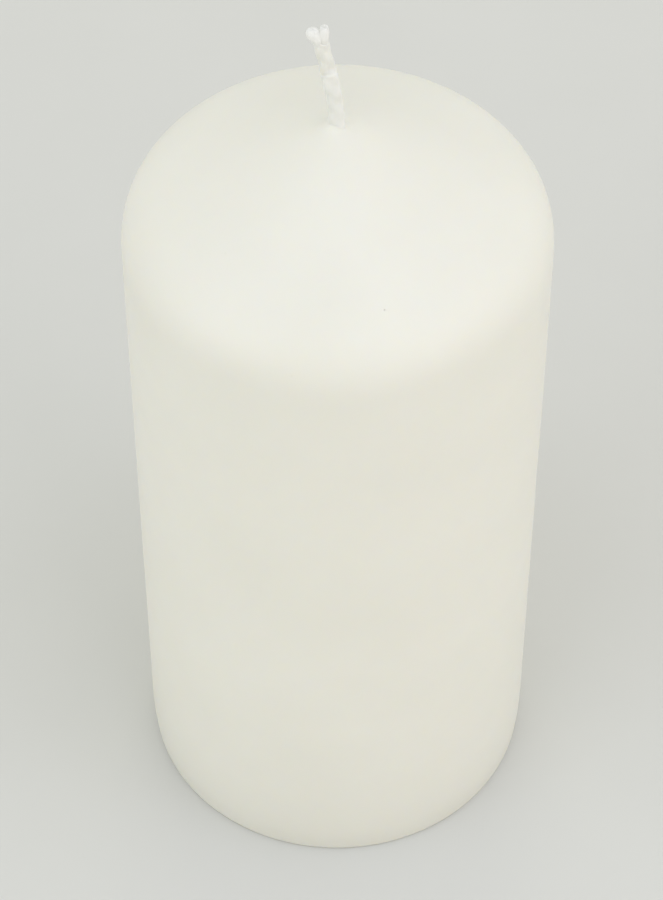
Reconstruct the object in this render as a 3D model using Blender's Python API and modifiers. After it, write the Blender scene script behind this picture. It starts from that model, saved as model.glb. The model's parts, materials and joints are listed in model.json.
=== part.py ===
"""Pillar candle: a pressed wax core in a dipped wax coat, a plaited wick and its metal sustainer.

Metres, +Z up. The origin is the centre of the base, on the surface that the candle stands on, and
the candle's axis is Z. The wick's free tail leans towards -X and turns about the pivot just above
the wax, on an axis parallel to Y.
"""

import math

import bpy

# Wax body: the sizes that drive the rest.
BODY_RADIUS = 0.034
WAX_HEIGHT = 0.1485
SHOULDER_RADIUS = 0.0115
CONE_SLOPE = math.radians(28)
BASE_EDGE_RADIUS = 0.0013

# The dipped coat, and the gap between pieces that touch.
COAT_WALL = 0.0018
COAT_BASE = 0.0012
COAT_INNER_EDGE_RADIUS = 0.0006
FIT_GAP = 0.0003

# Wax drawn up round the wick: a hollow curve that steepens from the cone's slope.
LIP_CURVE_RADIUS = 0.002
LIP_STEEPEST = math.radians(75)

# Plaited wick: three strands, each swinging from edge to edge once a pitch.
STRANDS = 3
STRAND_RADIUS = 0.00038
PLAIT_SWING = 0.00088
PLAIT_DEPTH = 0.00064
PLAIT_PITCH = 0.0105
STEPS_PER_PITCH = 10
WICK_CLEARANCE = 0.0004

# Free tail: its lean away from upright grows evenly from the pivot to the tip.
PIVOT_ABOVE_WAX = 0.001
TAIL_STEPS = 17
LEAN_AT_PIVOT = math.radians(7.5)
LEAN_AT_TIP = math.radians(12.5)
TIP_SPLAY_STEPS = 4
TIP_SPLAY = 0.00035

# Wick sustainer: a disc and collar drawn from one piece of sheet.
SHEET = 0.0004
SUSTAINER_RADIUS = 0.010
SUSTAINER_LIFT = 0.0005
DISH_RADIUS = 0.006
DISH_RISE = 0.0003
COLLAR_RADIUS = 0.0019
COLLAR_HEIGHT = 0.0065
COLLAR_FOOT_RADIUS = 0.0006

# Facets round the axis, and along each rounded stretch of an outline.
BODY_SEGMENTS = 48
SUSTAINER_SEGMENTS = 24
ARC_STEPS = 4

# Worked out from the sizes above.
WICK_HOLE_RADIUS = PLAIT_SWING + STRAND_RADIUS + WICK_CLEARANCE
SHOULDER_CENTRE_RADIUS = BODY_RADIUS - SHOULDER_RADIUS
CONE_RADIUS = SHOULDER_CENTRE_RADIUS + SHOULDER_RADIUS * math.sin(CONE_SLOPE)
LIP_RADIUS = WICK_HOLE_RADIUS + LIP_CURVE_RADIUS * (math.sin(LIP_STEEPEST) - math.sin(CONE_SLOPE))
LIP_RISE = LIP_CURVE_RADIUS * (math.cos(CONE_SLOPE) - math.cos(LIP_STEEPEST))
CONE_RISE = (CONE_RADIUS - LIP_RADIUS) * math.tan(CONE_SLOPE)
WALL_TOP = WAX_HEIGHT - LIP_RISE - CONE_RISE - SHOULDER_RADIUS * math.cos(CONE_SLOPE)
CORE_BASE = COAT_BASE + FIT_GAP
COLLAR_TOP = SUSTAINER_LIFT + COLLAR_HEIGHT
COLLAR_BORE = COLLAR_RADIUS + SHEET / 2 + FIT_GAP
PIVOT_Z = WAX_HEIGHT + PIVOT_ABOVE_WAX
PLAIT_STEP = PLAIT_PITCH / STEPS_PER_PITCH
BURIED_STEPS = int((PIVOT_Z - SUSTAINER_LIFT - SHEET) / PLAIT_STEP)
# At the tip one strand lies on the +X edge and the other two side by side towards -X.
TIP_TURN = 0.25

COLLECTION = bpy.data.collections.new("pillar_candle")


def clear_scene():
    """Leaves an empty scene with the candle's own collection in it."""
    for thing in list(bpy.data.objects):
        bpy.data.objects.remove(thing, do_unlink=True)
    bpy.context.scene.collection.children.link(COLLECTION)


def material(name, colour, roughness, metallic=0.0, subsurface=0.0):
    """A Principled BSDF in one colour."""
    made = bpy.data.materials.new(name)
    made.use_nodes = True
    shader = made.node_tree.nodes["Principled BSDF"]
    shader.inputs["Base Color"].default_value = (*colour, 1.0)
    shader.inputs["Roughness"].default_value = roughness
    shader.inputs["Metallic"].default_value = metallic
    shader.inputs["Subsurface Weight"].default_value = subsurface
    return made


def arc(centre, radius, start, end, steps=ARC_STEPS):
    """Points (r, z) of an arc, with its angles measured from the +r direction towards +z."""
    angles = [start + (end - start) * step / steps for step in range(steps + 1)]
    return [(centre[0] + radius * math.cos(a), centre[1] + radius * math.sin(a)) for a in angles]


def turned(name, outline, segments, finish, closed=True):
    """An outline of (r, z) points at +X, turned round the Z axis."""
    mesh = bpy.data.meshes.new(name)
    links = [(i, i + 1) for i in range(len(outline) - 1)]
    if closed:
        links.append((len(outline) - 1, 0))
    mesh.from_pydata([(r, 0.0, z) for r, z in outline], links, [])
    piece = bpy.data.objects.new(name, mesh)
    COLLECTION.objects.link(piece)
    screw = piece.modifiers.new("Turn", "SCREW")
    screw.axis = "Z"
    screw.angle = math.tau
    screw.steps = segments
    screw.render_steps = segments
    screw.use_merge_vertices = True
    screw.merge_threshold = 0.00001
    screw.use_smooth_shade = True
    mesh.materials.append(finish)
    return piece


def body_outline(inset, base, hole, edge):
    """The candle's half-section at a depth below its surface: cone, shoulder, wall, base edge radius."""
    radius = BODY_RADIUS - inset
    quarter = math.pi / 2
    shoulder = arc((SHOULDER_CENTRE_RADIUS, WALL_TOP), SHOULDER_RADIUS - inset, quarter - CONE_SLOPE, 0)
    cone_r, cone_z = shoulder[0]
    cone_top = (hole, cone_z + (cone_r - hole) * math.tan(CONE_SLOPE))
    return [cone_top, *shoulder, *arc((radius - edge, base + edge), edge, 0, -quarter)]


def lip_outline():
    """The wax drawn up round the wick, from its top edge down to the cone."""
    points = []
    for step in range(ARC_STEPS + 1):
        slope = LIP_STEEPEST + (CONE_SLOPE - LIP_STEEPEST) * step / ARC_STEPS
        r = LIP_RADIUS - LIP_CURVE_RADIUS * (math.sin(slope) - math.sin(CONE_SLOPE))
        z = WAX_HEIGHT - LIP_RISE + LIP_CURVE_RADIUS * (math.cos(CONE_SLOPE) - math.cos(slope))
        points.append((r, z))
    return points


def make_coat(finish):
    """The smooth outer skin, open round the wick and round the sustainer."""
    opening = SUSTAINER_RADIUS + FIT_GAP
    outside = lip_outline() + body_outline(0.0, 0.0, LIP_RADIUS, BASE_EDGE_RADIUS)[1:] + [(opening, 0.0)]
    hollow = body_outline(COAT_WALL, COAT_BASE, WICK_HOLE_RADIUS, COAT_INNER_EDGE_RADIUS)
    inside = [(opening, COAT_BASE)] + hollow[::-1]
    return turned("overdip_coat", outside + inside, BODY_SEGMENTS, finish)


def make_core(finish):
    """The pressed wax block, with the wick's bore and a wider bore for the sustainer's collar."""
    edge = COAT_INNER_EDGE_RADIUS - FIT_GAP
    outside = body_outline(COAT_WALL + FIT_GAP, CORE_BASE, WICK_HOLE_RADIUS, edge)
    collar_end = COLLAR_TOP + FIT_GAP
    bore = [(COLLAR_BORE, CORE_BASE), (COLLAR_BORE, collar_end), (WICK_HOLE_RADIUS, collar_end)]
    return turned("wax_core", outside + bore, BODY_SEGMENTS, finish)


def make_sustainer(finish):
    """A disc with a shallow dish and a collar that grips the wick's foot."""
    low = SUSTAINER_LIFT + SHEET / 2
    high = low + DISH_RISE
    foot_centre = (COLLAR_RADIUS + COLLAR_FOOT_RADIUS, high + COLLAR_FOOT_RADIUS)
    foot = arc(foot_centre, COLLAR_FOOT_RADIUS, math.pi, math.pi * 1.5, 4)
    rim = [(DISH_RADIUS - DISH_RISE, high), (DISH_RADIUS + DISH_RISE, low), (SUSTAINER_RADIUS, low)]
    outline = [(COLLAR_RADIUS, COLLAR_TOP), *foot, *rim]
    piece = turned("wick_sustainer", outline, SUSTAINER_SEGMENTS, finish, closed=False)
    sheet = piece.modifiers.new("Sheet", "SOLIDIFY")
    sheet.thickness = SHEET
    sheet.offset = 0.0
    sheet.use_even_offset = True
    return piece


def tail_centre(step):
    """The tail's centreline (x, z) and its lean, a number of plait steps above the pivot."""
    x, z = 0.0, PIVOT_Z
    growth = (LEAN_AT_TIP - LEAN_AT_PIVOT) / TAIL_STEPS
    for done in range(step):
        lean = LEAN_AT_PIVOT + growth * (done + 0.5)
        x -= PLAIT_STEP * math.sin(lean)
        z += PLAIT_STEP * math.cos(lean)
    return x, z, LEAN_AT_PIVOT + growth * step


def wick_point(strand, step):
    """A strand's centre, a number of plait steps above (+) or below (-) the pivot."""
    turn = TIP_TURN + (step - TAIL_STEPS) / STEPS_PER_PITCH + strand / STRANDS
    across = PLAIT_SWING * math.sin(math.tau * turn)
    through = PLAIT_DEPTH * math.sin(2 * math.tau * turn)
    x, z, lean = tail_centre(step) if step > 0 else (0.0, PIVOT_Z + step * PLAIT_STEP, 0.0)
    spread = max(0, step - (TAIL_STEPS - TIP_SPLAY_STEPS)) / TIP_SPLAY_STEPS
    across += math.copysign(TIP_SPLAY * spread ** 2, across)
    return x + across * math.cos(lean), through, z + across * math.sin(lean)


def make_strand(name, strand, steps, finish, origin):
    """One strand of the plait as a round cord through the given steps."""
    curve = bpy.data.curves.new(name, "CURVE")
    curve.dimensions = "3D"
    curve.bevel_depth = STRAND_RADIUS
    curve.bevel_resolution = 1
    curve.use_fill_caps = True
    spline = curve.splines.new("POLY")
    spline.points.add(len(steps) - 1)
    for point, step in zip(spline.points, steps):
        x, y, z = wick_point(strand, step)
        point.co = (x, y, z - origin.location.z, 1.0)
    piece = bpy.data.objects.new(name, curve)
    piece.parent = origin
    COLLECTION.objects.link(piece)
    curve.materials.append(finish)
    return piece


def make_wick(finish):
    """The strands up to the wax's lip, and the same strands beyond the pivot as the free tail."""
    pivot = bpy.data.objects.new("wick_pivot", None)
    pivot.location = (0.0, 0.0, PIVOT_Z)
    COLLECTION.objects.link(pivot)
    for strand in range(STRANDS):
        buried = range(-BURIED_STEPS, 0)
        make_strand(f"wick_strand_{strand + 1}", strand, buried, finish, pivot)
        tail = range(1, TAIL_STEPS + 1)
        make_strand(f"wick_tail_strand_{strand + 1}", strand, tail, finish, pivot)


def main():
    clear_scene()
    make_coat(material("ivory_dipped_wax", (0.83, 0.82, 0.71), 0.42, subsurface=0.3))
    make_core(material("pressed_wax", (0.85, 0.84, 0.76), 0.6, subsurface=0.3))
    make_sustainer(material("tinplate", (0.72, 0.72, 0.70), 0.35, metallic=1.0))
    make_wick(material("waxed_cotton", (0.80, 0.80, 0.76), 0.7))


main()
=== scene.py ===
"""Looks of the pillar candle: dipped ivory wax, pressed core, plaited wick and tinplate sustainer."""

import json
import math
import random

import bmesh
import bpy
import numpy as np
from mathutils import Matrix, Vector, noise


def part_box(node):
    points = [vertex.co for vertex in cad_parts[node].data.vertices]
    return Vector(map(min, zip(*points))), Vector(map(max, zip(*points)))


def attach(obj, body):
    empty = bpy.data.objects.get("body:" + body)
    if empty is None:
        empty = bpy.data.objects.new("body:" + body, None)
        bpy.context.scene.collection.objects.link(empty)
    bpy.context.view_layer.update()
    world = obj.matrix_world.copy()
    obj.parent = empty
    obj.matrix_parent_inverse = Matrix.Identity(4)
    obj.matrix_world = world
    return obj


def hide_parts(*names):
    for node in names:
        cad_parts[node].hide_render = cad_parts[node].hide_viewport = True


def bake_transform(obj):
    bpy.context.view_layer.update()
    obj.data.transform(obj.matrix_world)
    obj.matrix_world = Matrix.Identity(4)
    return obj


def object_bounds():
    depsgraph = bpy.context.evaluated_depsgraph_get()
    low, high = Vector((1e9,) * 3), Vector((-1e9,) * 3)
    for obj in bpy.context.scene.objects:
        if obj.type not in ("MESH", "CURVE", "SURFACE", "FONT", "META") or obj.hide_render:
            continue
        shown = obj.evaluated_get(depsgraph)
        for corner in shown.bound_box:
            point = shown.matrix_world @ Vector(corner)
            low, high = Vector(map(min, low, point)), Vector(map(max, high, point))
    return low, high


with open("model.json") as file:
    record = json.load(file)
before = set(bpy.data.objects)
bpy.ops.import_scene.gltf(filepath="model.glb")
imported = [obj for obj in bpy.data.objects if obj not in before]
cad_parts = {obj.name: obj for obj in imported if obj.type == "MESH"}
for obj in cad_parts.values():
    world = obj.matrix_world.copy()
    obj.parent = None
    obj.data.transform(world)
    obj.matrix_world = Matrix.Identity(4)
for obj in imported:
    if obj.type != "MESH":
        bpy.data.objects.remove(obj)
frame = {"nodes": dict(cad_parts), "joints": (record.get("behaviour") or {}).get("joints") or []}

MM = 0.001

# The frame's own sizes, which every piece is built from.
CAD_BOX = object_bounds()
COAT_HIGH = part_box("overdip_coat")[1]
SUSTAINER_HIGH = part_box("wick_sustainer")[1]
PIVOT_Z = frame["joints"][0]["pos_m"][2]
BODY_RADIUS = COAT_HIGH.x
WAX_HEIGHT = COAT_HIGH.z
TIP_HEIGHT = CAD_BOX[1].z
WICK_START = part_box("wick_strand_1")[0].z - PIVOT_Z

# Shape of the wax. Slopes are down from straight outward. On the outside they ease into each other,
# over these lengths, where the CAD part has arcs. The coat's hidden inside is close to the CAD part's,
# and SHOULDER_RADIUS is only for that.
CONE_SLOPE = math.radians(28)
WALL_SLOPE = math.radians(90)
BASE_SLOPE = math.radians(180)
SHOULDER_RADIUS = 11.5 * MM
SHOULDER_LENGTH = 16.0 * MM
FOOT_SLOPE = math.radians(95)
FOOT_LENGTH = 8.0 * MM
BASE_EDGE_LENGTH = 1.3 * MM
COAT_WALL = 1.8 * MM
COAT_BASE = 1.2 * MM
BASE_OPENING = SUSTAINER_HIGH.x + 0.3 * MM
LIP_RADIUS = 1.0 * MM
LIP_STEEPEST = math.radians(78)
LIP_LENGTH = 2.2 * MM
LIP_SLANT = 0.5 * MM
LIP_REACH = 2.6 * MM
INNER_EDGE = 0.5 * MM
ROUND_STEPS = 256
SHARP_FROM = math.radians(40)

# The dipped skin's unevenness: its size, the two widths of its swells, and how far up from the base
# and out from the wick it fades in.
UNEVENNESS = 0.05 * MM
SWELL_WIDTH = 22 * MM
RIPPLE_WIDTH = 9 * MM
UNEVEN_FROM_BASE = 6 * MM
UNEVEN_FROM_WICK = 8 * MM

# Pinholes in the wax: degrees round from the front (to the right), height in mm, and how strong they are:
# how dark the painted shade in them is, and how deep they look.
# The first three are where the photo shows them, and the others are made up.
PINHOLES = [
    (-46.8, 135.6, 0.16), (15.0, 133.8, 0.55), (-12, 126.7, 0.13), (-131, 128.0, 0.40), (64, 96.0, 0.20),
    (101, 131.5, 0.25), (163, 88.0, 0.45), (-96, 52.0, 0.20), (132, 34.0, 0.35), (-158, 118.0, 0.18),
]
PINHOLE_RADIUS = 0.22 * MM

# Painted shade: the wax's colour is darkened towards the base, up to this height from it.
BASE_SHADE_HEIGHT = 36 * MM

# The plait, as in the CAD part: strands swing from edge to edge once a pitch. Here they are thicker
# and swing less, so that they press on each other inside the same outline. A strand is built in fine
# steps where it shows, and ends inside its tuft, STRAND_END above the tuft's foot.
STRANDS = 3
PLAIT_PITCH = 10.5 * MM
PLAIT_PHASE = 0.25
STRAND_RADIUS = 0.84 * MM
PLAIT_SWING = 0.40 * MM
PLAIT_DEPTH = 0.24 * MM
YARNS = 8
YARN_RIDGE = 0.03 * MM
YARN_TWIST = 7.0 * MM
STRAND_SLACK = 0.05 * MM
STRAND_SIDES = 36
STRAND_END = 0.5 * MM
FINE_FROM = -5 * MM
HIDDEN_STEP = 1.5 * MM
FINE_STEP = 0.1 * MM

# Lean of the wick in degrees to the left, at heights above the pivot in mm, chosen to pass
# through points along the wick in the photo.
WICK_LEAN = [(-5.0, 0.0), (-3.5, 3.6), (1.0, 3.8), (3.0, 7.2), (5.0, 9.4), (7.5, 10.2), (11.0, 10.2),
             (13.2, 13.2), (14.8, 12.0), (16.3, 6.0), (18.0, 2.0)]
LINE_TOP = 19 * MM
LINE_STEP = 0.05 * MM

# Wax on the wick, by height from the pivot: a film from inside the cone up to a bead, with a seam on
# the left in front, and above it only what has soaked in, up to the dry end, which dips on the right in
# front. A fill says how softly the wax bridges the plait's grooves, from 0 for not at all.
FILM_LOW = -3.0 * MM
FILM_TOP = 9.0 * MM
FILM_FADE = 0.35 * MM
FILM_THICKNESS = 0.06 * MM
FILM_WAVE = 0.03 * MM
FILM_WAVE_WIDTH = 1.6 * MM
FILM_BEAD = 0.06 * MM
FILM_BEAD_UNDER = 0.40 * MM
FILM_BEAD_WIDTH = 0.38 * MM
FILM_FILL = 0.22
SOAKED_THICKNESS = 0.02 * MM
SOAKED_FILL = 0.11
FILM_SIDES = 108
FILM_STEPS = 200
DRY_FROM = 15.3 * MM
DRY_DIP = 0.7 * MM
DRY_DIP_ANGLE = math.radians(-45)
DRY_DIP_HALF_ANGLE = math.radians(32)
DRY_FADE = 0.7 * MM
DRY_FADE_OVER = 0.5 * MM
DRY_EDGE = 0.25 * MM
DRY_EDGE_DEPTH = 0.2 * MM
SEAM_ANGLE = math.radians(-136)
SEAM_TURN = math.radians(-28)
SEAM_HALF_ANGLE = math.radians(11)
SEAM_DEPTH = 0.20 * MM
SEAM_HEIGHTS = (2.6 * MM, 7.2 * MM)
SEAM_FADE = 0.8 * MM

# The frayed end is a tuft for each strand, from FRAY_START above the pivot. Each is given in mm: its
# place from the wick's line, its half-width and half-depth, how far its rim is under the CAD tip, and
# how much its middle stands above its rim.
FRAY_START = 13.6 * MM
TUFTS = [
    {"x": 0.22, "y": 0.06, "wide": 0.66, "deep": 0.74, "drop": 1.40, "dome": 0.30},
    {"x": -0.67, "y": -0.16, "wide": 1.22, "deep": 0.86, "drop": 1.20, "dome": 0.40},
    {"x": 0.98, "y": -0.10, "wide": 0.78, "deep": 0.80, "drop": 0.70, "dome": 0.12},
]
TUFT_SIDES = 144
TUFT_STEPS = 24
TUFT_CAP_STEPS = 8
TUFT_FOOT_RADIUS = 0.9 * STRAND_RADIUS
TUFT_RIM_INSET = 0.22
TUFT_TOP_BUMPS = 0.07 * MM
TUFT_TOP_BUMP_WIDTH = 0.2 * MM

# Bundles of fibres ridge a tuft's sides by a share of its radius, and single fibres stand out of its
# cut end, some of them strays that stand longer and lean further. How far they stand and lean is in mm.
FIBRE_BUNDLES = 22
BUNDLE_DEPTH = 0.05
TUFT_SWELL = 0.05
FIBRES = 90
FIBRE_SPREAD = 0.95
FIBRE_SIDES = 5
FIBRE_STEPS = 3
FIBRE_RADIUS = 0.030 * MM
FIBRE_ROOT = 0.05 * MM
FIBRE_STAND = (0.02, 0.09)
FIBRE_LEAN = 0.04
STRAY_SHARE = 0.08
STRAY_LEAN = 0.12
STRAY_STAND = 2.5
GOLDEN_ANGLE = 2.39996

SEED = 11


# ---------------------------------------------------------------- materials

class Nodes:
    """A short way to write a node material."""

    def __init__(self, name):
        self.material = bpy.data.materials.new(name)
        self.material.use_nodes = True
        self.tree = self.material.node_tree
        self.shader = self.tree.nodes["Principled BSDF"]
        self.place = self.new("ShaderNodeTexCoord").outputs["Object"]

    def new(self, kind, inputs=None, **settings):
        """A node with its settings, and with a value or a link for each input."""
        node = self.tree.nodes.new(kind)
        for key, value in settings.items():
            setattr(node, key, value)
        for key, value in (inputs or {}).items():
            if isinstance(value, bpy.types.NodeSocket):
                self.tree.links.new(value, node.inputs[key])
            else:
                node.inputs[key].default_value = value
        return node

    def noise(self, scale, detail=3.0, roughness=0.5, place=None):
        inputs = {"Vector": place or self.place, "Scale": scale, "Detail": detail, "Roughness": roughness}
        return self.new("ShaderNodeTexNoise", inputs).outputs["Fac"]

    def stretched(self, x, y, z):
        return self.new("ShaderNodeMapping", {"Vector": self.place, "Scale": (x, y, z)}).outputs["Vector"]

    def attribute(self, name):
        return self.new("ShaderNodeAttribute", attribute_name=name).outputs["Fac"]

    def ramp(self, factor, stops):
        """Colours or greys by factor. Each stop is (position, colour)."""
        node = self.new("ShaderNodeValToRGB", {"Fac": factor})
        elements = node.color_ramp.elements
        while len(elements) < len(stops):
            elements.new(0.5)
        for element, (position, colour) in zip(elements, stops):
            element.position = position
            element.color = (*colour, 1.0) if isinstance(colour, tuple) else (colour, colour, colour, 1.0)
        return node.outputs["Color"]

    def mix(self, factor, a, b, **settings):
        """From colour a to colour b. A Mix node's colours are its inputs 6 and 7, and its output 2."""
        inputs = {"Factor": factor, 6: a, 7: b}
        return self.new("ShaderNodeMix", inputs, data_type="RGBA", **settings).outputs[2]

    def maths(self, operation, a, b=0.0):
        return self.new("ShaderNodeMath", {0: a, 1: b}, operation=operation).outputs[0]

    def near(self, points, radius):
        """The strength of any of the points at it, falling to 0 at the radius."""
        total = 0.0
        for point, strength in points:
            away = self.new("ShaderNodeVectorMath", {0: self.place, 1: point}, operation="DISTANCE")
            spot = self.new("ShaderNodeMapRange",
                            {"Value": away.outputs["Value"], "From Min": radius, "From Max": 0.0,
                             "To Max": strength},
                            interpolation_type="SMOOTHSTEP")
            total = self.maths("MAXIMUM", spot.outputs["Result"], total)
        return total

    def bump(self, height, strength, distance, normal=None):
        inputs = {"Height": height, "Strength": strength, "Distance": distance}
        if normal is not None:
            inputs["Normal"] = normal
        return self.new("ShaderNodeBump", inputs).outputs["Normal"]

    def set(self, **values):
        """Values or links for the shader, with spaces in a socket's name written as _."""
        for key, value in values.items():
            socket = self.shader.inputs[key.replace("_", " ")]
            if isinstance(value, bpy.types.NodeSocket):
                self.tree.links.new(value, socket)
            else:
                socket.default_value = value
        return self.material


def dipped_wax(pinholes):
    """Ivory paraffin with a satin skin that isn't quite flat: slight clouds, pinholes with painted shade in
    them, and painted shade that darkens it towards the base.
    """
    n = Nodes("dipped_wax")
    cloud = n.noise(38.0, 4.0, 0.55)
    colour = n.ramp(cloud, [(0.30, (0.778, 0.770, 0.684)), (0.70, (0.800, 0.792, 0.710))])
    height = n.new("ShaderNodeSeparateXYZ", {"Vector": n.place}).outputs["Z"]
    # Painted shade: the wax's colour gets darker towards the base, where the floor shades it.
    foot = n.ramp(n.maths("DIVIDE", height, BASE_SHADE_HEIGHT),
                  [(0.0, 0.895), (0.16, 0.94), (0.45, 0.972), (1.0, 1.0)])
    colour = n.mix(1.0, colour, foot, blend_type="MULTIPLY")
    # Painted shade: this mask colours the pinholes dark for the shade inside them, and also dents the skin.
    pinhole_and_shade = n.near(pinholes, PINHOLE_RADIUS)
    colour = n.mix(pinhole_and_shade, colour, (0.48, 0.47, 0.42, 1.0))
    rough = n.ramp(n.noise(160.0, 3.0), [(0.3, 0.40), (0.7, 0.46)])
    skin = n.bump(n.noise(70.0, 2.0), 0.08, 0.4 * MM)
    grain = n.bump(n.noise(900.0, 4.0, 0.6), 0.10, 0.05 * MM, skin)
    holes = n.bump(n.maths("SUBTRACT", 1.0, pinhole_and_shade), 0.8, 0.2 * MM, grain)
    return n.set(Base_Color=colour, Roughness=rough, Normal=holes, Subsurface_Weight=0.6,
                 Subsurface_Radius=(1.0, 0.85, 0.55), Subsurface_Scale=0.35 * MM, IOR=1.44)


def pressed_wax():
    """The core: pressed wax granules, paler where they have been crushed together."""
    n = Nodes("pressed_wax")
    cells = n.new("ShaderNodeTexVoronoi", {"Vector": n.place, "Scale": 700.0})
    grains = cells.outputs["Distance"]
    colour = n.ramp(grains, [(0.0, (0.86, 0.85, 0.78)), (0.9, (0.76, 0.74, 0.64))])
    skin = n.bump(grains, 0.3, 0.15 * MM)
    return n.set(Base_Color=colour, Roughness=0.62, Normal=skin, Subsurface_Weight=0.4,
                 Subsurface_Radius=(1.0, 0.85, 0.55), Subsurface_Scale=0.5 * MM)


def tinplate():
    """Rolled tinplate: fine parallel scratches and a faint crystal bloom in the tin."""
    n = Nodes("tinplate")
    scratches = n.noise(400.0, 3.0, 0.6, n.stretched(1.0, 40.0, 1.0))
    bloom = n.new("ShaderNodeTexVoronoi", {"Vector": n.place, "Scale": 450.0}).outputs["Color"]
    shade = n.new("ShaderNodeSeparateColor", {"Color": bloom}).outputs["Red"]
    colour = n.ramp(shade, [(0.0, (0.66, 0.66, 0.65)), (1.0, (0.78, 0.78, 0.76))])
    rough = n.ramp(scratches, [(0.3, 0.24), (0.7, 0.42)])
    skin = n.bump(scratches, 0.15, 0.02 * MM)
    return n.set(Base_Color=colour, Roughness=rough, Normal=skin, Metallic=1.0)


def cotton():
    """Bleached cotton: ivory and sleek where wax has soaked in, white and dry at the frayed end."""
    n = Nodes("cotton")
    fibres = n.noise(2600.0, 4.0, 0.7, n.stretched(1.0, 1.0, 0.12))
    soaked = n.attribute("soaked")
    waxed = n.ramp(fibres, [(0.3, (0.72, 0.72, 0.66)), (0.7, (0.78, 0.78, 0.72))])
    white = n.ramp(fibres, [(0.3, (0.775, 0.775, 0.73)), (0.7, (0.85, 0.85, 0.80))])
    rough = n.new("ShaderNodeMapRange", {"Value": soaked, "To Min": 0.85, "To Max": 0.48}).outputs["Result"]
    skin = n.bump(fibres, 0.4, 0.04 * MM)
    return n.set(Base_Color=n.mix(soaked, white, waxed), Roughness=rough, Normal=skin, Sheen_Weight=0.2)


def film_wax():
    """Wax on the wick: a greyer film below, and above it soaked cotton whose fibres still show."""
    n = Nodes("film_wax")
    film = n.attribute("film")
    cloud = n.noise(500.0, 3.0, 0.6, n.stretched(1.0, 1.0, 0.4))
    fibres = n.noise(2400.0, 4.0, 0.7, n.stretched(1.0, 1.0, 0.10))
    below = n.ramp(cloud, [(0.30, (0.760, 0.764, 0.712)), (0.70, (0.811, 0.816, 0.764))])
    above = n.ramp(fibres, [(0.30, (0.735, 0.735, 0.672)), (0.70, (0.785, 0.785, 0.722))])
    rough = n.new("ShaderNodeMapRange", {"Value": film, "To Min": 0.55, "To Max": 0.42}).outputs["Result"]
    bare = n.maths("SUBTRACT", 1.0, film)
    ridges = n.bump(n.maths("MULTIPLY", fibres, bare), 0.35, 0.04 * MM)
    skin = n.bump(n.noise(900.0, 3.0), 0.2, 0.05 * MM, ridges)
    return n.set(Base_Color=n.mix(film, above, below), Roughness=rough, Normal=skin, Subsurface_Weight=0.5,
                 Subsurface_Radius=(1.0, 0.9, 0.7), Subsurface_Scale=0.3 * MM, IOR=1.44)


# ---------------------------------------------------------------- wax

def arc(centre, radius, start, end, steps):
    """Points on a circle from one angle to another."""
    angles = [start + (end - start) * step / steps for step in range(steps + 1)]
    return [(centre[0] + radius * math.cos(a), centre[1] + radius * math.sin(a)) for a in angles]


def straight(start, end, steps):
    """Points after start, up to and including end."""
    return [(start[0] + (end[0] - start[0]) * i / steps, start[1] + (end[1] - start[1]) * i / steps)
            for i in range(1, steps + 1)]


def eased(t):
    """From 0 to 1 with soft ends, and flat outside."""
    t = min(1.0, max(0.0, t))
    return t * t * (3 - 2 * t)


def bend(start, slope_from, slope_to, length, steps):
    """Points after start on a curve whose slope, down from straight outward, changes smoothly."""
    r, z = start
    points = []
    for step in range(steps):
        t = (step + 0.5) / steps
        slope = slope_from + (slope_to - slope_from) * eased(t)
        r += length / steps * math.cos(slope)
        z -= length / steps * math.sin(slope)
        points.append((r, z))
    return points


def foot(start):
    """The wall's slight draw-in at its foot, and the base edge."""
    narrowing = bend(start, WALL_SLOPE, FOOT_SLOPE, FOOT_LENGTH, 10)
    return narrowing + bend(narrowing[-1], FOOT_SLOPE, BASE_SLOPE, BASE_EDGE_LENGTH, 12)


def wax_outside():
    """The half-section of the candle's skin: lip, cone, shoulder, wall, base edge and base."""
    top = (LIP_RADIUS, WAX_HEIGHT)
    lip = [top] + bend(top, LIP_STEEPEST, CONE_SLOPE, LIP_LENGTH, 16)
    shoulder_width = bend((0, 0), CONE_SLOPE, WALL_SLOPE, SHOULDER_LENGTH, 32)[-1][0]
    cone_run = BODY_RADIUS - shoulder_width - lip[-1][0]
    cone_end = (lip[-1][0] + cone_run, lip[-1][1] - cone_run * math.tan(CONE_SLOPE))
    shoulder = bend(cone_end, CONE_SLOPE, WALL_SLOPE, SHOULDER_LENGTH, 32)
    foot_height = -foot((0, 0))[-1][1]
    wall_end = (BODY_RADIUS, foot_height)
    edge = foot(wall_end)
    outline = lip + straight(lip[-1], cone_end, 24) + shoulder
    outline += straight(shoulder[-1], wall_end, 44) + edge
    return outline + straight(edge[-1], (BASE_OPENING, 0.0), 8)


def wax_inside():
    """The hidden side of the coat, close to the CAD part's, from the base up to the wick."""
    inner_r = BODY_RADIUS - COAT_WALL
    centre = (BODY_RADIUS - SHOULDER_RADIUS, shoulder_centre_height())
    shoulder = arc(centre, SHOULDER_RADIUS - COAT_WALL, 0, math.pi / 2 - CONE_SLOPE, 8)
    apex = shoulder[-1][1] + (shoulder[-1][0] - LIP_RADIUS) * math.tan(CONE_SLOPE)
    outline = [(BASE_OPENING, COAT_BASE), (inner_r - INNER_EDGE, COAT_BASE),
               (inner_r, COAT_BASE + INNER_EDGE)]
    outline += straight(outline[-1], shoulder[0], 6)[:-1] + shoulder
    return outline + straight(shoulder[-1], (LIP_RADIUS, apex), 4)


def shoulder_centre_height():
    """Height of the CAD shoulder's centre, from the cone that the lip runs into."""
    top = (LIP_RADIUS, WAX_HEIGHT)
    r, z = bend(top, LIP_STEEPEST, CONE_SLOPE, LIP_LENGTH, 16)[-1]
    centre_r = BODY_RADIUS - SHOULDER_RADIUS
    touch_r = centre_r + SHOULDER_RADIUS * math.sin(CONE_SLOPE)
    return z - (touch_r - r) * math.tan(CONE_SLOPE) - SHOULDER_RADIUS * math.cos(CONE_SLOPE)


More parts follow.
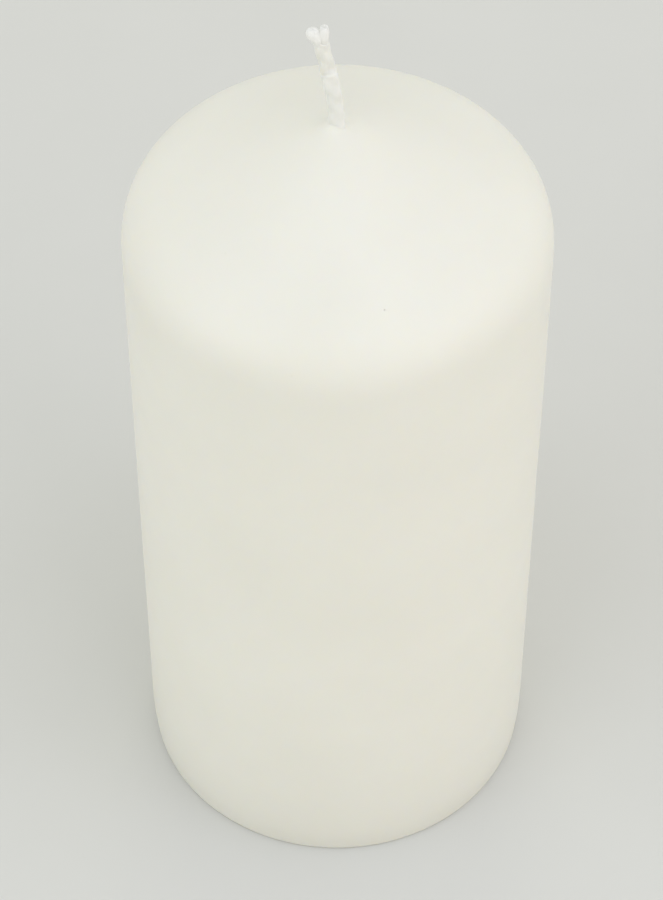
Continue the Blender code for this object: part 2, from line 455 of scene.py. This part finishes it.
def dipped(point):
    """The small unevenness of a dipped skin, and a lip that has climbed the wick on its left."""
    r = math.hypot(point.x, point.y)
    out = Vector((point.x, point.y, 0)) / r
    lip = eased(1 - (r - LIP_RADIUS) / LIP_REACH)
    body = min(1.0, r / UNEVEN_FROM_WICK) * min(1.0, point.z / UNEVEN_FROM_BASE)
    swell = noise.noise(point / SWELL_WIDTH) + 0.5 * noise.noise(point / RIPPLE_WIDTH)
    to_wick = Vector((wick_point(WAX_HEIGHT - PIVOT_Z).x, 0, -LIP_SLANT * out.x))
    return point + out * (UNEVENNESS * swell * body) + to_wick * lip


def turned_mesh(name, outline, moved):
    """A closed outline turned round Z, with each point then moved."""
    points, faces = [], []
    count = len(outline)
    for step in range(ROUND_STEPS):
        angle = math.tau * step / ROUND_STEPS
        turn = (math.cos(angle), math.sin(angle))
        points += [moved(Vector((r * turn[0], r * turn[1], z))) for r, z in outline]
        here, there = step * count, (step + 1) % ROUND_STEPS * count
        for i in range(count):
            j = (i + 1) % count
            faces.append((here + i, there + i, there + j, here + j))
    return finished_mesh(name, points, faces)


def finished_mesh(name, points, faces):
    """A smooth mesh whose faces all look outward."""
    mesh = bpy.data.meshes.new(name)
    mesh.from_pydata(points, [], faces)
    bm = bmesh.new()
    bm.from_mesh(mesh)
    bmesh.ops.recalc_face_normals(bm, faces=bm.faces)
    bm.to_mesh(mesh)
    bm.free()
    mesh.shade_smooth()
    return mesh


def add(name, mesh, material):
    """A new piece in the scene."""
    piece = bpy.data.objects.new(name, mesh)
    bpy.context.scene.collection.objects.link(piece)
    mesh.materials.append(material)
    return piece


def make_coat(material):
    """The candle's skin, outside and inside, as one closed shell."""
    mesh = turned_mesh("dipped_coat", wax_outside() + wax_inside(), dipped)
    mesh.set_sharp_from_angle(angle=SHARP_FROM)
    coat = add("dipped_coat", mesh, material)
    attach(coat, "candle")
    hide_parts("overdip_coat")
    return coat


def pinhole_points():
    """Where the pinholes are, on the cone by height or on the wall, and how dark."""
    skin = wax_outside()
    points = []
    for turn, height, strength in PINHOLES:
        z = height * MM
        r = min(skin, key=lambda point: abs(point[1] - z))[0]
        angle = math.radians(turn)
        points.append(((r * math.sin(angle), -r * math.cos(angle), z), strength))
    return points


# ---------------------------------------------------------------- wick

def wick_line():
    """Tables of height along the wick from the pivot, x, z and lean."""
    heights = np.arange(WICK_START, LINE_TOP, LINE_STEP)
    known = [height * MM for height, _ in WICK_LEAN]
    lean = np.radians(np.interp(heights, known, [angle for _, angle in WICK_LEAN]))
    middle = (lean[1:] + lean[:-1]) / 2
    x = np.concatenate([[0.0], np.cumsum(-np.sin(middle) * LINE_STEP)])
    z = np.concatenate([[0.0], np.cumsum(np.cos(middle) * LINE_STEP)])
    z += PIVOT_Z - np.interp(0.0, heights, z)
    return heights, x, z, lean


LINE = wick_line()


def wick_point(height, across=0.0, through=0.0):
    """The point at a height along the wick that is a distance across (right) and through (back)."""
    x, z, lean = (float(np.interp(height, LINE[0], column)) for column in LINE[1:])
    return Vector((x + across * math.cos(lean), through, z + across * math.sin(lean)))


def strand_place(strand, height):
    """Where a strand's centre is in the wick's section: across and through."""
    turn = PLAIT_PHASE + height / PLAIT_PITCH + strand / STRANDS
    return PLAIT_SWING * math.sin(math.tau * turn), PLAIT_DEPTH * math.sin(2 * math.tau * turn)


def strand_centre(strand, height):
    """The middle of a strand at a height along the wick."""
    return wick_point(height, *strand_place(strand, height))


def mark(mesh, name, values):
    """A number for each point of the mesh, which its material reads."""
    layer = mesh.attributes.new(name, "FLOAT", "POINT")
    layer.data.foreach_set("value", values)


def loft(rings):
    """Points and faces of a closed form through rings of equal count."""
    sides = len(rings[0])
    points = [point for ring in rings for point in ring]
    faces = [tuple(range(sides))]
    for i in range(len(rings) - 1):
        for j in range(sides):
            k = (j + 1) % sides
            faces.append((i * sides + j, i * sides + k, (i + 1) * sides + k, (i + 1) * sides + j))
    faces.append(tuple((len(rings) - 1) * sides + j for j in range(sides)))
    return points, faces


def soak(height):
    """How much wax the cotton has taken up, from all of it below the dry end to none."""
    return eased((DRY_FROM + DRY_FADE_OVER - height) / DRY_FADE)


def tube_rings(path, radius, sides, shape=lambda angle, i: 1.0):
    """Rings along a path. shape changes the radius by angle and step."""
    rings = []
    for i, centre in enumerate(path):
        ahead = (path[min(i + 1, len(path) - 1)] - path[max(i - 1, 0)]).normalized()
        side = Vector((0, 1, 0)).cross(ahead).normalized()
        front = ahead.cross(side)
        ring = []
        for j in range(sides):
            angle = math.tau * j / sides
            r = (radius[i] if isinstance(radius, list) else radius) * shape(angle, i)
            ring.append(centre + side * (r * math.cos(angle)) + front * (r * math.sin(angle)))
        rings.append(ring)
    return rings


def make_strand(strand, material):
    """One strand: a twisted bundle of yarns, from the sustainer up into its tuft."""
    heights = list(np.arange(WICK_START, FINE_FROM, HIDDEN_STEP))
    heights += list(np.arange(FINE_FROM, FRAY_START + STRAND_END, FINE_STEP))
    path = [strand_centre(strand, height) for height in heights]

    def yarns(angle, i):
        """The grooves between the yarns, which twist round the strand."""
        ridge = abs(math.sin(YARNS * (angle - heights[i] / YARN_TWIST * math.tau) / 2))
        return 1 - YARN_RIDGE / STRAND_RADIUS * 2 * (1 - ridge) ** 2

    points, faces = loft(tube_rings(path, STRAND_RADIUS - STRAND_SLACK, STRAND_SIDES, yarns))
    name = f"wick_cotton_{strand + 1}"
    mesh = finished_mesh(name, points, faces)
    mark(mesh, "soaked", [soak(height) for height in heights for _ in range(STRAND_SIDES)])
    piece = add(name, mesh, material)
    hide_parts(f"wick_strand_{strand + 1}", f"wick_tail_strand_{strand + 1}")
    cross_joint(piece)
    return piece


def cross_joint(piece):
    """Bakes the place of a piece that runs from the candle up into the tail into its mesh."""
    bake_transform(piece)


def plait_reach(height, angle, fill):
    """Distance from the wick's line to the plait's skin, with its grooves filled to a softness."""
    u, v = math.cos(angle), math.sin(angle)
    total = 0.0
    for strand in range(STRANDS):
        across, through = strand_place(strand, height)
        along = u * across + v * through
        aside = max(STRAND_RADIUS ** 2 - (across * across + through * through - along * along), 0.0)
        total += math.exp((along + math.sqrt(aside)) / MM / fill)
    return fill * math.log(total) * MM


def seam(height, angle):
    """How deep the film's seam is here."""
    low, high = SEAM_HEIGHTS
    along = eased((height - low) / SEAM_FADE) * eased((high - height) / SEAM_FADE)
    centre = SEAM_ANGLE + SEAM_TURN * (height - low) / (high - low)
    return SEAM_DEPTH * along * math.exp(-((angle - centre) / SEAM_HALF_ANGLE) ** 2)


def film_reach(height, angle):
    """Distance from the wick's line to the wax on it, and how much of the film there is."""
    edge = FILM_TOP + (0.22 * math.sin(angle + 0.6) + 0.10 * math.sin(3 * angle)) * MM
    film = eased((edge - height) / FILM_FADE)
    bead = FILM_BEAD * math.exp(-((edge - FILM_BEAD_UNDER - height) / FILM_BEAD_WIDTH) ** 2)
    place = wick_point(height, math.cos(angle) * MM, math.sin(angle) * MM)
    wave = FILM_WAVE * noise.noise(place / FILM_WAVE_WIDTH)
    skin = SOAKED_THICKNESS + (FILM_THICKNESS - SOAKED_THICKNESS + wave) * film + bead
    fill = SOAKED_FILL + (FILM_FILL - SOAKED_FILL) * film
    return plait_reach(height, angle, fill) + skin - seam(height, angle), film


def dry_edge(angle):
    """Height of the film's wavy upper edge, with its dip."""
    top = DRY_FROM + (0.16 * math.sin(2 * angle + 1.0) + 0.08 * math.sin(5 * angle)) * MM
    return top - DRY_DIP * math.exp(-((angle - DRY_DIP_ANGLE) / DRY_DIP_HALF_ANGLE) ** 2)


def make_film(material):
    """The wax on the wick: it sinks into the cone, and its upper edge closes on the tufts."""
    rings, filmed = [], []
    for step in range(FILM_STEPS + 1):
        ring = []
        for j in range(FILM_SIDES):
            angle = math.tau * j / FILM_SIDES - math.pi
            top = dry_edge(angle)
            height = FILM_LOW + (top - FILM_LOW) * step / FILM_STEPS
            reach, film = film_reach(height, angle)
            edge = min(1.0, (top - height) / DRY_EDGE)
            reach -= DRY_EDGE_DEPTH * (1 - math.sqrt(max(0.0, 1 - (1 - edge) ** 2)))
            ring.append(wick_point(height, reach * math.cos(angle), reach * math.sin(angle)))
            filmed.append(film)
        rings.append(ring)
    mesh = finished_mesh("wick_wax_film", *loft(rings))
    mark(mesh, "film", filmed)
    piece = add("wick_wax_film", mesh, material)
    cross_joint(piece)
    return piece


def tuft_shape(strand, tuft):
    """A tuft's length, and the function that gives its points."""
    base = strand_centre(strand, FRAY_START)
    start = strand_centre(strand, FRAY_START + 0.1 * MM) - base
    over = wick_point(TIP_HEIGHT - PIVOT_Z, tuft["x"] * MM, tuft["y"] * MM)
    top = Vector((over.x, over.y, TIP_HEIGHT - tuft["drop"] * MM))
    length = (top - base).length
    reach = start.normalized() * length / 3

    def middle(t):
        """The tuft's line, which leaves the strand straight and ends upright."""
        a, b, c, d = base, base + reach, top - Vector((0, 0, reach.length)), top
        return a * (1 - t) ** 3 + b * (3 * t * (1 - t) ** 2) + c * (3 * t * t * (1 - t)) + d * t ** 3

    def place(t, out, angle):
        """A point at t up the tuft, and a share of the way out to its side, ridged by its bundles."""
        way = Vector((math.cos(angle), math.sin(angle), 0.0))
        swell = noise.noise(way * 4 + Vector((0, 0, strand * 7 + t)))
        sway = noise.noise(way * 3 + Vector((0, 0, strand + t)))
        bundle = abs(math.sin(FIBRE_BUNDLES / 2 * angle + 1.5 * sway))
        ridge = BUNDLE_DEPTH * (math.sqrt(bundle) - 1) * eased((t - 0.25) / 0.3)
        streak = 1 + TUFT_SWELL * swell + ridge
        flare = eased((t - 0.22) / 0.5)
        rim = 1 - TUFT_RIM_INSET * eased((t - 0.72) / 0.28) ** 2
        wide, deep = ((TUFT_FOOT_RADIUS + (tuft[key] * MM - TUFT_FOOT_RADIUS) * flare) * rim * streak
                      for key in ("wide", "deep"))
        dome = tuft["dome"] * MM * (1 - out * out) * eased((t - 0.8) / 0.2)
        return middle(t) + Vector((out * wide * math.cos(angle), out * deep * math.sin(angle), dome))

    return length, place


def fibre(place, number, dice):
    """Rings of a fibre that stands out of the cut end of the tuft with these places."""
    out = FIBRE_SPREAD * math.sqrt((number + 0.5) / FIBRES)
    stray = dice.random() < STRAY_SHARE
    aside = Vector((dice.uniform(-1, 1), dice.uniform(-1, 1), 0))
    lean = aside * (STRAY_LEAN if stray else FIBRE_LEAN) * MM
    stand = dice.uniform(*FIBRE_STAND) * MM * (STRAY_STAND if stray else 1.0)
    root = place(1.0, out, number * GOLDEN_ANGLE) - Vector((0, 0, FIBRE_ROOT))
    rise = lean + Vector((0, 0, FIBRE_ROOT + stand))
    path = [root + rise * (i / FIBRE_STEPS) for i in range(FIBRE_STEPS + 1)]
    radius = [FIBRE_RADIUS * dice.uniform(0.8, 1.2)] * FIBRE_STEPS + [FIBRE_RADIUS * 0.4]
    return tube_rings(path, radius, FIBRE_SIDES)


def make_tuft(strand, tuft, material, dice):
    """The frayed end of a strand: a streaked head of cotton with fibres standing out of its cut end."""
    length, place = tuft_shape(strand, tuft)
    points, faces, soaked = [], [], []

    def grow(rings, heights):
        """Adds a closed form through rings, each at a height that says how soaked it is."""
        more, more_faces = loft(rings)
        offset = len(points)
        points.extend(more)
        faces.extend(tuple(i + offset for i in face) for face in more_faces)
        soaked.extend(soak(height) for height in heights for _ in rings[0])

    turns = [math.tau * j / TUFT_SIDES for j in range(TUFT_SIDES)]
    sides = [(i / TUFT_STEPS, 1.0) for i in range(TUFT_STEPS + 1)]
    levels = sides + [(1.0, 1 - i / TUFT_CAP_STEPS) for i in range(1, TUFT_CAP_STEPS)]
    rings = [[place(t, out, angle) for angle in turns] for t, out in levels]
    for ring in rings[len(sides):]:
        for point in ring:
            point.z += TUFT_TOP_BUMPS * noise.noise(point / TUFT_TOP_BUMP_WIDTH)
    grow(rings, [FRAY_START + t * length for t, _ in levels])
    for number in range(FIBRES):
        rings = fibre(place, number, dice)
        grow(rings, [FRAY_START + length] * len(rings))
    name = f"wick_tuft_{strand + 1}"
    mesh = finished_mesh(name, points, faces)
    mark(mesh, "soaked", soaked)
    piece = add(name, mesh, material)
    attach(piece, "wick_tail")
    return piece


# ---------------------------------------------------------------- stage

# The camera's place and lens, fitted to the photo together with the candle's outline.
CAMERA_PITCH = math.radians(49.575)
CAMERA_DISTANCE = 535.6 * MM
CAMERA_SIDE = -0.97 * MM
TARGET_HEIGHT = 71.2 * MM
LENS = 126.35
SENSOR_WIDTH = 36.0
NEAR_CLIP = 0.01

# The floor is a plain disc, in metres.
FLOOR_RADIUS = 0.95


def make_camera():
    """The camera at the photo's angle, looking straight at the candle's middle from the front."""
    data = bpy.data.cameras.new("camera")
    data.lens = LENS
    data.sensor_width = SENSOR_WIDTH
    data.clip_start = NEAR_CLIP
    camera = bpy.data.objects.new("camera", data)
    bpy.context.scene.collection.objects.link(camera)
    back = Vector((0.0, -math.cos(CAMERA_PITCH), math.sin(CAMERA_PITCH)))
    camera.location = Vector((CAMERA_SIDE, 0.0, TARGET_HEIGHT)) + back * CAMERA_DISTANCE
    camera.rotation_euler = (math.pi / 2 - CAMERA_PITCH, 0.0, 0.0)
    bpy.context.scene.camera = camera
    return camera


def make_floor():
    """The pale surface that the candle stands on."""
    n = Nodes("studio_floor")
    grain = n.noise(30.0, 3.0)
    colour = n.ramp(grain, [(0.3, (0.630, 0.633, 0.596)), (0.7, (0.640, 0.643, 0.606))])
    material = n.set(Base_Color=colour, Roughness=0.7)
    bpy.ops.mesh.primitive_circle_add(vertices=ROUND_STEPS, radius=FLOOR_RADIUS, fill_type="NGON",
                                      location=(0, 0, 0))
    floor = bpy.context.object
    floor.name = "floor"
    floor.data.materials.append(material)
    return floor


def area_light(name, azimuth, elevation, watts):
    """A soft box that faces the candle. Azimuth 0 is on the camera's side, and 90 is on the right."""
    data = bpy.data.lights.new(name, "AREA")
    data.shape = "RECTANGLE"
    data.size = data.size_y = LIGHT_SIZE
    data.energy = max(watts)
    data.color = tuple(part / max(watts) for part in watts)
    lamp = bpy.data.objects.new(name, data)
    a, e = math.radians(azimuth), math.radians(elevation)
    away = Vector((math.sin(a) * math.cos(e), -math.cos(a) * math.cos(e), math.sin(e)))
    lamp.location = Vector((0, 0, TARGET_HEIGHT)) + away * LIGHT_DISTANCE
    lamp.rotation_euler = (-away).to_track_quat("-Z", "Y").to_euler()
    lamp.visible_camera = False
    bpy.context.scene.collection.objects.link(lamp)
    return lamp


# Soft boxes of one size at one distance, in metres, over an even surrounding light. Each row is a
# name, azimuth, elevation, and power in watts of red, green and blue. The directions were listed one
# by one. The powers came from a least-squares fit of one render for each light to the photo's shading,
# and were then rounded and adjusted.
LIGHT_DISTANCE = 1.2
LIGHT_SIZE = 0.8
WORLD_LIGHT = (0.656, 0.656, 0.649)
LIGHTS = [
    ("low_left", -40, 15, (1.20, 1.09, 0.95)),
    ("low_right", 40, 15, (1.58, 1.38, 1.13)),
    ("front_left", -45, 35, (1.09, 1.16, 1.26)),
    ("front_right", 45, 35, (0.51, 0.47, 0.55)),
    ("high_left", -45, 60, (0.83, 0.99, 1.36)),
    ("high_right", 45, 60, (1.59, 1.70, 2.05)),
    ("side_left", -75, 20, (1.48, 1.52, 1.51)),
    ("side_right", 75, 20, (1.56, 1.51, 1.46)),
    ("side_right_high", 80, 45, (0.36, 0.40, 0.59)),
    ("rear_left", -115, 30, (0.55, 0.48, 0.40)),
    ("rear_right", 115, 30, (0.80, 0.77, 0.70)),
    ("back", 180, 30, (1.90, 1.88, 1.48)),
]


def make_lights():
    """All the soft boxes."""
    for light in LIGHTS:
        area_light(*light)


def make_world():
    """The even light all round."""
    world = bpy.data.worlds.new("studio")
    world.use_nodes = True
    background = world.node_tree.nodes["Background"]
    background.inputs["Color"].default_value = (*WORLD_LIGHT, 1)
    background.inputs["Strength"].default_value = 1.0
    bpy.context.scene.world = world


def main():
    """Builds the stage and the pieces, and gives the two CAD nodes that stay better materials."""
    bpy.context.scene.view_settings.view_transform = "Standard"
    make_camera()
    make_floor()
    make_world()
    make_lights()
    make_coat(dipped_wax(pinhole_points()))
    frame["nodes"]["wax_core"].data.materials[0] = pressed_wax()
    frame["nodes"]["wick_sustainer"].data.materials[0] = tinplate()
    yarn = cotton()
    dice = random.Random(SEED)
    for strand in range(STRANDS):
        make_strand(strand, yarn)
        make_tuft(strand, TUFTS[strand], yarn, dice)
    make_film(film_wax())


main()
